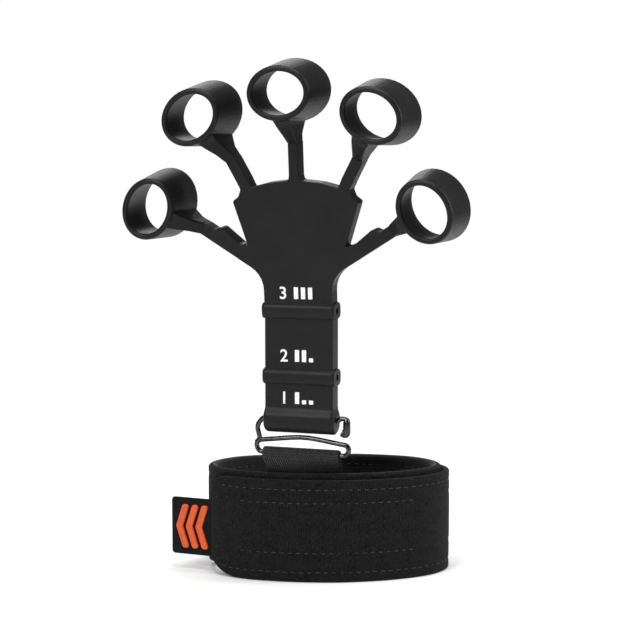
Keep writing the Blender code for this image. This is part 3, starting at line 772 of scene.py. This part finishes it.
def oval(angle, offset, z):
    """World point of the strap's oval, moved outwards by offset."""
    c, s = math.cos(angle), math.sin(angle)
    normal = Vector((BAND_B * c, BAND_A * s)).normalized()
    point = Vector((BAND_A * c + normal.x * offset, BAND_B * s + normal.y * offset, z))
    return Euler((0.0, 0.0, STRAP_TURN)).to_matrix() @ point + STRAP


def arc_table(start, end, offset, steps=400):
    """Angles and running lengths along the oval."""
    table = [(0.0, start)]
    last = oval(start, offset, 0.0)
    length = 0.0
    for step in range(1, steps + 1):
        angle = start + (end - start) * step / steps
        here = oval(angle, offset, 0.0)
        length += (here - last).length
        table.append((length, angle))
        last = here
    return table


def angle_at(table, length):
    for (low, first), (high, second) in zip(table, table[1:]):
        if length <= high:
            t = (length - low) / (high - low)
            return first + (second - first) * t
    return table[-1][1]


def slab(inner, outer, low, high, radius, marks=(), depth=0.0, crown=0.0, count=46):
    """Closed loop of (offset, z) round a strip's section, with pressed lines at the marked heights."""
    radius = min(radius, 0.49 * (outer - inner), 0.49 * (high - low))
    points = []

    def relief(z):
        t = (z - low) / (high - low)
        pressed = sum(math.exp(-(((z - mark) / (0.8 * MM)) ** 2)) for mark in marks)
        return crown * math.sin(math.pi * max(0.0, min(1.0, t))) - depth * min(1.0, pressed)

    for step in range(count + 1):
        z = low + radius + (high - low - 2 * radius) * step / count
        points.append((outer + relief(z), z))
    for step in range(1, 8):
        angle = math.pi / 2 * step / 8
        points.append((outer - radius + radius * math.cos(angle), high - radius + radius * math.sin(angle)))
    for step in range(8):
        angle = math.pi / 2 * (1 + step / 8)
        points.append((inner + radius + radius * math.cos(angle), high - radius + radius * math.sin(angle)))
    for step in range(count + 1):
        z = high - radius - (high - low - 2 * radius) * step / count
        points.append((inner - relief(z), z))
    for step in range(1, 8):
        angle = math.pi / 2 * (2 + step / 8)
        points.append((inner + radius + radius * math.cos(angle), low + radius + radius * math.sin(angle)))
    for step in range(8):
        angle = math.pi / 2 * (3 + step / 8)
        points.append((outer - radius + radius * math.cos(angle), low + radius + radius * math.sin(angle)))
    return points


def ring_lengths(section):
    """Running length round a section, for cloth coordinates."""
    total = [0.0]
    for (a, b), (c, d) in zip(section, section[1:] + section[:1]):
        total.append(total[-1] + math.hypot(c - a, d - b))
    return total


def make_band():
    stations = 220
    table = arc_table(0.0, math.tau, 0.0)
    around = table[-1][0]
    section = slab(-BAND_THICK, 0.0, 0.0, BAND_TOP, 1.5 * MM, (BAND_TOP - BAND_STITCH, BAND_STITCH), 0.28 * MM)
    lengths = ring_lengths(section)
    rows = []
    for step in range(stations):
        angle = angle_at(table, around * step / stations)
        wave = 0.22 * MM * math.sin(5 * angle + 0.6) + 0.14 * MM * math.sin(11 * angle)
        row = []
        for offset, z in section:
            lift = z / BAND_TOP
            back = max(0.0, math.sin(angle))
            shift = wave * lift * back
            rise = BAND_RISE * (1 - lift) * smooth_step(1 - abs(angle - BAND_RISE_AT) / BAND_RISE_SPAN)
            sway = 0.3 * MM * lift * back * math.sin(3 * angle)
            row.append(oval(angle, offset + shift, z + rise + sway))
        rows.append(row)
    band = lattice("band_body", rows, PILE, lambda i, j: (around * i / stations, lengths[j]), ring=True)
    band.data.materials.append(LINING)
    edge = -BAND_THICK / 2
    for polygon in band.data.polygons:
        column = polygon.index % len(section)
        if section[column][0] < edge and section[(column + 1) % len(section)][0] < edge:
            polygon.material_index = 1
    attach(band, "strap")
    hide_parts("band_cover", "band_core", "band_lining")


def flap_edges(along):
    """Lowest and highest z of the flap at a distance from its free end."""
    def drop(reach, height):
        t = min(1.0, along / reach)
        return height * (1 - math.sqrt(max(0.0, 1 - (1 - t) ** 2)))
    return drop(*LOW_CORNER), FLAP_TOP - drop(*TOP_CORNER)


def blend_flap(obj):
    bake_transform(obj)


def make_flap(table):
    total = table[-1][0]
    reach = LOW_CORNER[0]
    stations = [reach * (1 - math.cos(math.pi / 2 * step / 22)) for step in range(1, 23)]
    stations = [0.02 * MM] + stations
    stations += [reach + (total - reach) * step / 190 for step in range(1, 191)]
    rows, heights = [], None
    for along in stations:
        angle = angle_at(table, along)
        low, high = flap_edges(along)
        ends = min(along, total - along)
        squeeze = math.sqrt(max(0.0, 1 - (1 - min(1.0, (ends + 0.1 * MM) / (1.1 * MM))) ** 2))
        middle = (FLAP_INNER + FLAP_OUTER) / 2
        half = (FLAP_OUTER - FLAP_INNER) / 2 * max(0.25, squeeze)
        settled = min(1.0, max(0.0, (along - 0.84 * total) / (0.14 * total)))
        inner = middle - half - 0.8 * MM * settled
        wave = 0.16 * MM * math.sin(along / (7.5 * MM)) + 0.1 * MM * math.sin(along / (3.1 * MM) + 1.0)
        section = slab(inner, middle + half, low, high, 1.0 * MM, STITCH_ROWS, 0.26 * MM, 0.1 * MM)
        heights = heights or ring_lengths(slab(FLAP_INNER, FLAP_OUTER, 0.0, FLAP_TOP, 1.0 * MM))
        rows.append([oval(angle, offset + wave * 0.5, z) for offset, z in section])
    flap = lattice("flap_body", rows, PILE, lambda i, j: (stations[min(i, len(stations) - 1)], heights[j]))
    blend_flap(flap)
    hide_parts("closing_flap", "flap_anchor")


def add_stitch(bm, start, end, normal, radius):
    """One stitch: a small spindle that dips into the cloth at both ends."""
    axis = end - start
    side = axis.cross(normal).normalized()
    rings = []
    for t in (0.0, 0.12, 0.35, 0.65, 0.88, 1.0):
        bulge = math.sin(math.pi * t) ** 0.5
        centre = start + axis * t + normal * (radius * (1.5 * bulge - 1.3))
        wide = radius * max(0.25, bulge)
        ring = []
        for step in range(7):
            angle = math.tau * step / 7
            around = side * (wide * math.cos(angle)) + normal * (wide * math.sin(angle))
            ring.append(bm.verts.new(centre + around))
        rings.append(ring)
    for low, high in zip(rings, rings[1:]):
        for i in range(7):
            j = (i + 1) % 7
            bm.faces.new((low[i], low[j], high[j], high[i]))
    bm.faces.new(rings[0])
    bm.faces.new(rings[-1])


def stitch_line(bm, table, path, offset, side=1.0):
    """Stitches along a path of (running length, z) on the strap, on its outer or inner face."""
    travelled, due = 0.0, 0.0
    for (a, low), (b, high) in zip(path, path[1:]):
        span = math.hypot(b - a, high - low)
        while due + STITCH <= travelled + span:
            ends = []
            for distance in (due, due + STITCH):
                t = (distance - travelled) / span
                ends.append(oval(angle_at(table, a + (b - a) * t), offset, low + (high - low) * t))
            middle = angle_at(table, a + (b - a) * (due - travelled) / span)
            normal = (oval(middle, 1.0 * MM, 0.0) - oval(middle, 0.0, 0.0)).normalized() * side
            add_stitch(bm, ends[0], ends[1], normal, THREAD_RADIUS)
            due += STITCH_PITCH
        travelled += span


def make_stitches(table):
    total = table[-1][0]
    bm = bmesh.new()
    inset, outer_low, outer_high = STITCH_INSET, STITCH_ROWS[-1], STITCH_ROWS[0]
    face = FLAP_OUTER - 0.12 * MM
    low_corner, high_corner = [], []
    for step in range(7):
        angle = math.pi / 2 * step / 6
        c, s = math.cos(angle), math.sin(angle)
        reach = STITCH_LOW_CORNER
        low_corner.append((inset + reach - reach * s, outer_low + reach - reach * c))
        reach = STITCH_TOP_CORNER
        high_corner.append((inset + reach - reach * c, outer_high - reach + reach * s))
    stitch_line(bm, table, [(total - inset, outer_low)] + low_corner, face)
    high_path = [(inset, outer_low + 8.0 * MM)] + high_corner + [(total - inset, outer_high)]
    stitch_line(bm, table, high_path, face)
    for z in STITCH_ROWS[1:-1]:
        stitch_line(bm, table, [(16.0 * MM, z), (0.66 * total, z)], face)
    for end in (total - 2.5 * MM, total - 26.0 * MM):
        upright = [(end, outer_low + 1.0 * MM), (end, outer_high - 1.0 * MM)]
        stitch_line(bm, table, upright, FLAP_OUTER - 0.1 * MM)
    seams = new_object("flap_stitching", bm, THREAD)
    blend_flap(seams)

    bm = bmesh.new()
    ring = arc_table(0.0, math.tau, 0.0)
    for z in (BAND_TOP - BAND_STITCH, BAND_STITCH):
        stitch_line(bm, ring, [(0.0, z), (ring[-1][0], z)], -BAND_THICK + 0.22 * MM, -1.0)
        stitch_line(bm, ring, [(0.0, z), (ring[-1][0] * 0.52, z)], -0.22 * MM)
    seams = new_object("band_stitching", bm, THREAD)
    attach(seams, "strap")


# ---------------------------------------------------------------- webbing

def web_point(across, depth, z):
    """Point of the webbing: square to the buckle at the top, along the band's lining below."""
    a = WEB_CENTRE + across
    angle = -math.acos(max(-1.0, min(1.0, a / BAND_A)))
    low = oval(angle, WEB_INSET - depth, z)
    high = Vector((HINGE.x + across, HINGE.y + MID_Y + depth, z))
    return high.lerp(low, smooth_step((WEB_TURNED - z) / (5.4 * MM)))


def make_webbing():
    """One length of webbing: up the front, round the bar and down the back."""
    bar = HINGE.z + BAR_Z
    turn = WIRE + 0.25 * MM + WEB_PLY / 2
    flat = WEB_PLY / 2 + 0.03 * MM
    centre = []
    for step in range(34):
        z = WEB_LOW + (bar - 0.6 * MM - WEB_LOW) * step / 33
        spread = smooth_step((z - WEB_HIGH + 1.5 * MM) / (bar - WEB_HIGH + 0.5 * MM))
        centre.append((-(flat + (turn - flat) * spread), z))
    arc = []
    for step in range(17):
        angle = math.pi * step / 16
        arc.append((-turn * math.cos(angle), bar + turn * math.sin(angle)))
    back = [(-depth, z) for depth, z in reversed(centre)]
    line = centre + arc + back
    runs = [0.0]
    for (a, b), (c, d) in zip(line, line[1:]):
        runs.append(runs[-1] + math.hypot(c - a, d - b))
    outer, inner = [], []
    for index, (depth, z) in enumerate(line):
        ahead = Vector(line[min(index + 1, len(line) - 1)]) - Vector(line[max(index - 1, 0)])
        normal = Vector((-ahead.y, ahead.x)).normalized() * (WEB_PLY / 2)
        outer.append((depth + normal.x, z + normal.y))
        inner.append((depth - normal.x, z - normal.y))
    profile = outer + list(reversed(inner))
    along = runs + list(reversed(runs))
    columns = 44
    rows = []
    for column in range(columns + 1):
        t = 2 * column / columns - 1
        across = WEB_HALF * t
        pinch = 1.0 if abs(t) < 0.96 else 0.55
        row = []
        for index, (depth, z) in enumerate(profile):
            mate = profile[len(profile) - 1 - index]
            d = depth * (1 + pinch) / 2 + mate[0] * (1 - pinch) / 2
            h = z * (1 + pinch) / 2 + mate[1] * (1 - pinch) / 2
            row.append(web_point(across, d, h))
        rows.append(row)
    fold = runs[-1] / 2

    def cloth(i, j):
        return (WEB_HALF * 2 * i / columns, along[j % len(along)] - fold)

    webbing = lattice("webbing_strip", rows, WEAVE, cloth)
    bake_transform(webbing)
    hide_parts("webbing_loop", "webbing_tail")


# ---------------------------------------------------------------- tab

def tab_frame():
    """Where the tab leaves the flap, and its run and outward directions."""
    turned = Euler((0.0, 0.0, STRAP_TURN)).to_matrix()
    root = oval(FLAP_START - 0.012, 0.65 * MM, 0.0)
    run = turned @ Vector((math.cos(TAB_TURN), math.sin(TAB_TURN), 0.0))
    return root, run, Vector((-run.y, run.x, 0.0))


def raised(name, outline, low, high, place, material, edge):
    """Flat piece with its outline in (along, z), between two heights over the tab, with eased edges."""
    bm = bmesh.new()
    sides = [[bm.verts.new(place(p.x, p.y, level)) for p in outline] for level in (low, high)]
    for i in range(len(outline)):
        j = (i + 1) % len(outline)
        bm.faces.new((sides[0][i], sides[0][j], sides[1][j], sides[1][i]))
    bm.faces.new(sides[0])
    bm.faces.new(sides[1])
    obj = new_object(name, bm, material)
    modify(obj, "BEVEL", width=edge, segments=3, limit_method="ANGLE", angle_limit=math.radians(60))
    crisp(obj)
    return bake(obj)


def make_tab():
    root, run, side = tab_frame()

    def place(along, z, level):
        return root + run * along + side * level + Vector((0.0, 0.0, z))

    def ring(near, outwards, trim, thick):
        low, high = TAB_LOW + trim, TAB_HIGH - trim
        corners = ((-thick, low), (thick, low), (thick, high), (-thick, high))
        section = rounded([(x, z, 0.25 * MM) for x, z in corners])
        return [near + outwards * p.x + Vector((0.0, 0.0, p.y)) for p in section]

    half = TAB_THICK / 2
    sewn = []
    for step in range(9):
        angle = FLAP_START + math.radians(13) * (1 - step / 8)
        near = oval(angle, 0.65 * MM, 0.0)
        sewn.append(ring(near, (oval(angle, 1.65 * MM, 0.0) - near).normalized(), 0.0, half))
    stations = [TAB_HINGE * step / 4 for step in range(1, 5)]
    straight = TAB_LENGTH - TAB_CORNER - TAB_HINGE
    free = [TAB_HINGE + straight * step / 12 for step in range(13)]
    free += [TAB_LENGTH - TAB_CORNER * (1 - math.sin(math.pi / 2 * step / 7)) for step in range(1, 8)]
    for along in stations + free[1:]:
        left = TAB_LENGTH - along
        short = max(0.0, TAB_CORNER - left)
        trim = TAB_CORNER - math.sqrt(max(0.0, TAB_CORNER ** 2 - short ** 2))
        thin = half * min(1.0, 0.45 + left / (0.5 * MM))
        sewn.append(ring(root + run * along, side, trim, thin))
    tab = lattice("tab_strip", sewn, LEATHER)
    crisp(tab)
    bake(tab)
    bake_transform(tab)
    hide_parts("pull_tab", "tab_root")
    middle = (TAB_LOW + TAB_HIGH) / 2
    end = 1.35 * MM
    low, high = TAB_THICK / 2 - 0.35 * MM, TAB_THICK / 2 + 0.75 * MM
    for arrow in range(3):
        tip = ARROW_START + (arrow + 1) * ARROW_STEP
        near, far = tip - ARROW_BACK, tip - ARROW_BACK - ARROW_WIDTH
        corners = (
            (tip, 0.0, 1.2 * MM), (near, ARROW_HALF, end), (far, ARROW_HALF, end),
            (tip - ARROW_WIDTH, 0.0, 0.8 * MM), (far, -ARROW_HALF, end), (near, -ARROW_HALF, end),
        )
        outline = [Vector((p.x, p.y + middle)) for p in rounded(corners)]
        piece = raised(f"tab_chevron_{arrow + 1}", outline, low, high, place, ORANGE, 0.35 * MM)
        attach(piece, "tab")
        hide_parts(f"tab_arrow_{arrow + 1}")


# ---------------------------------------------------------------- stage

def make_stage():
    bm = bmesh.new()
    bmesh.ops.create_grid(bm, x_segments=1, y_segments=1, size=4.0)
    s = Shader("floor_pale", roughness=0.9, specular=0.1)
    where = s.place()
    s.colour(s.noise(where, 8.0), ((0.3, (0.86, 0.86, 0.86)), (0.7, (0.88, 0.88, 0.88))))
    reach = s.add("ShaderNodeVectorMath", operation="LENGTH")
    s.join(where, reach.inputs[0])
    far = s.add("ShaderNodeMapRange", interpolation_type="SMOOTHSTEP")
    far.inputs["From Min"].default_value = FLOOR_FADE[0]
    far.inputs["From Max"].default_value = FLOOR_FADE[1]
    s.join(reach.outputs["Value"], far.inputs["Value"])
    seen = s.add("ShaderNodeLightPath").outputs["Is Camera Ray"]
    white = s.add("ShaderNodeEmission")
    white.inputs["Strength"].default_value = 1.0
    blend = s.add("ShaderNodeMixShader")
    s.join(s.math("MULTIPLY", far.outputs["Result"], seen), blend.inputs["Fac"])
    s.join(s.surface.outputs["BSDF"], blend.inputs[1])
    s.join(white.outputs["Emission"], blend.inputs[2])
    s.join(blend.outputs["Shader"], s.nodes["Material Output"].inputs["Surface"])
    floor = new_object("floor", bm, s.material)
    floor.location.z = -0.0001
    world = bpy.data.worlds.new("studio")
    bpy.context.scene.world = world
    world.use_nodes = True
    tree = world.node_tree
    sky = tree.nodes["Background"]
    sky.inputs["Color"].default_value = (1.0, 1.0, 1.0, 1.0)
    path = tree.nodes.new("ShaderNodeLightPath")
    level = tree.nodes.new("ShaderNodeMapRange")
    level.inputs["To Min"].default_value = ROOM_LIGHT
    level.inputs["To Max"].default_value = 1.0
    tree.links.new(path.outputs["Is Camera Ray"], level.inputs["Value"])
    tree.links.new(level.outputs["Result"], sky.inputs["Strength"])


def area_light(name, spot, aim, size, power):
    lamp = bpy.data.lights.new(name, "AREA")
    lamp.shape = "RECTANGLE"
    lamp.size, lamp.size_y = size
    lamp.energy = power
    obj = bpy.data.objects.new(name, lamp)
    obj.location = spot
    obj.rotation_euler = (Vector(aim) - Vector(spot)).to_track_quat("-Z", "Y").to_euler()
    bpy.context.scene.collection.objects.link(obj)


def make_camera():
    camera = bpy.data.cameras.new("camera")
    camera.sensor_width = 36.0
    camera.lens = CAMERA_LENS
    camera.clip_start = 0.01
    obj = bpy.data.objects.new("camera", camera)
    obj.location = HINGE + CAMERA_OFFSET
    obj.rotation_euler = (math.radians(90 - CAMERA_DIP), 0.0, math.radians(CAMERA_TURN))
    bpy.context.scene.collection.objects.link(obj)
    bpy.context.scene.camera = obj


def main():
    make_camera()
    make_stage()
    for light in LIGHTS:
        area_light(*light)
    bpy.context.scene.view_settings.view_transform = "Standard"

    dress_silicone_nodes()
    for number in FINGERS:
        make_arm(number)
    make_neck()
    bend_neck_low(make_mark(1, -32.7 * MM))
    bend_neck_high(make_mark(2, -14.9 * MM))
    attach(make_mark(3, 11.6 * MM, on_palm=True), "palm")
    make_wire("buckle_pin", HOOK_PIN, "pin", "hook_pin", lambda t: 1.0 + 0.5 * smooth_step((t - 0.55) / 0.2))
    make_wire("buckle_frame", FRAME_WIRE, "frame", "latch_frame")
    make_webbing()
    make_band()
    table = arc_table(FLAP_START, ANCHOR_END, FLAP_OUTER)
    make_flap(table)
    make_stitches(table)
    repaint("hook_tape", HOOKS)
    make_tab()


main()
